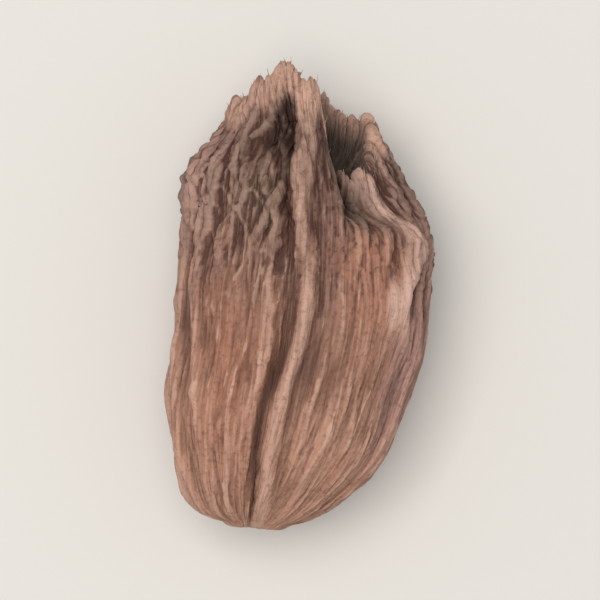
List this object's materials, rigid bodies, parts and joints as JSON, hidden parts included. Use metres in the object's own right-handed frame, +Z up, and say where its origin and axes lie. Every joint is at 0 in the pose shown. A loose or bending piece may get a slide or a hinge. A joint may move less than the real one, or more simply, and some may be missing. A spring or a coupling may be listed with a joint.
{
  "type": "black cardamom pod",
  "caption": "Dried black cardamom pod lying on its side: an oval ribbed brown husk with a ridged seam, a net of wrinkles towards a torn hollow crown, and a blunt stalk end.",
  "frame": {"origin": "on the surface that the pod lies on, under the middle of its box", "axes": "+Y along the pod from its stalk end to its torn crown, +Z up, away from the surface, +X across the pod towards the side that it bows to"},
  "size_m": [0.0128, 0.0222, 0.0101],
  "materials": {
    "husk": "dry, fibrous, wrinkled brown husk with pale worn crests and dark grooves; matt to faintly satin"
  },
  "bodies": {
    "root": {"pod": "husk"}
  },
  "joints": []
}
